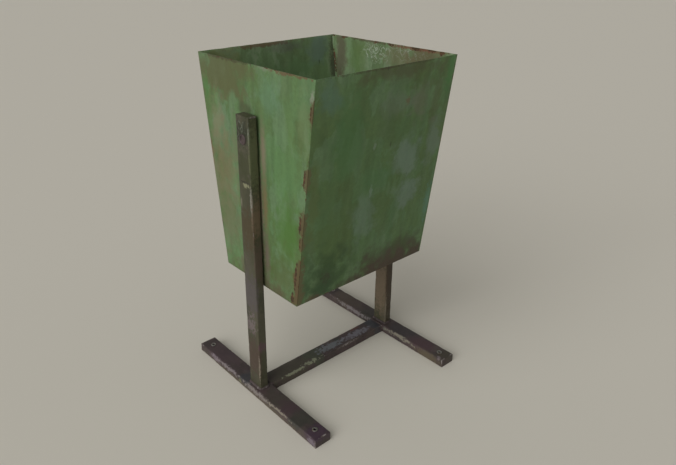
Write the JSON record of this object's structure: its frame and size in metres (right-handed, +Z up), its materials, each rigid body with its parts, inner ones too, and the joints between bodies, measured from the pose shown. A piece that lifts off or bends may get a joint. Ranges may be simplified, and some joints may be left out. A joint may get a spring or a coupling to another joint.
{
  "type": "tipping litter bin",
  "caption": "Open square sheet-steel hopper that tips on two pivots between upright tubes on an H-shaped floor stand.",
  "frame": {"origin": "centre of the stand on the ground", "axes": "+X along the cross bar and the pivot axis, +Y along the feet towards the back, +Z up"},
  "size_m": [0.43, 0.43, 0.72],
  "materials": {
    "hopper_paint": "weathered green brush paint on mild steel, rusted along edges",
    "frame_paint": "faded grey-green and brown paint on mild steel tube, worn to grey metal and rust",
    "hopper_weld": "painted-over weld bead, rust showing through",
    "weld": "painted-over weld bead, rust and bare metal showing through",
    "pivot_steel": "turned mild steel, dull and lightly rusted",
    "zinc": "dull weathered zinc plating"
  },
  "bodies": {
    "stand": {"left_foot": "frame_paint", "right_foot": "frame_paint", "cross_bar": "frame_paint", "left_post": "frame_paint", "right_post": "frame_paint", "left_foot_front_plate": "frame_paint", "left_foot_back_plate": "frame_paint", "right_foot_front_plate": "frame_paint", "right_foot_back_plate": "frame_paint", "left_post_cap": "frame_paint", "right_post_cap": "frame_paint", "left_post_weld": "weld", "right_post_weld": "weld", "left_bar_weld": "weld", "right_bar_weld": "weld", "left_pivot_pin": "pivot_steel", "right_pivot_pin": "pivot_steel", "left_pin_weld": "weld", "right_pin_weld": "weld", "spacer_washers": "zinc", "end_washers": "zinc", "split_pins": "zinc", "anchor_washers": "zinc"},
    "hopper": {"left_side": "hopper_paint", "right_side": "hopper_paint", "front_wall": "hopper_paint", "back_wall": "hopper_paint", "bottom": "hopper_paint", "left_pivot_plate": "hopper_paint", "right_pivot_plate": "hopper_paint", "left_plate_weld": "hopper_weld", "right_plate_weld": "hopper_weld", "bottom_weld": "hopper_weld", "left_front_seam": "hopper_weld", "left_back_seam": "hopper_weld", "right_front_seam": "hopper_weld", "right_back_seam": "hopper_weld"}
  },
  "joints": [
    {"name": "bin_tip", "type": "hinge", "parent": "stand", "child": "hopper", "pos_m": [0, 0, 0.585], "axis": [1, 0, 0], "continuous": true}
  ]
}
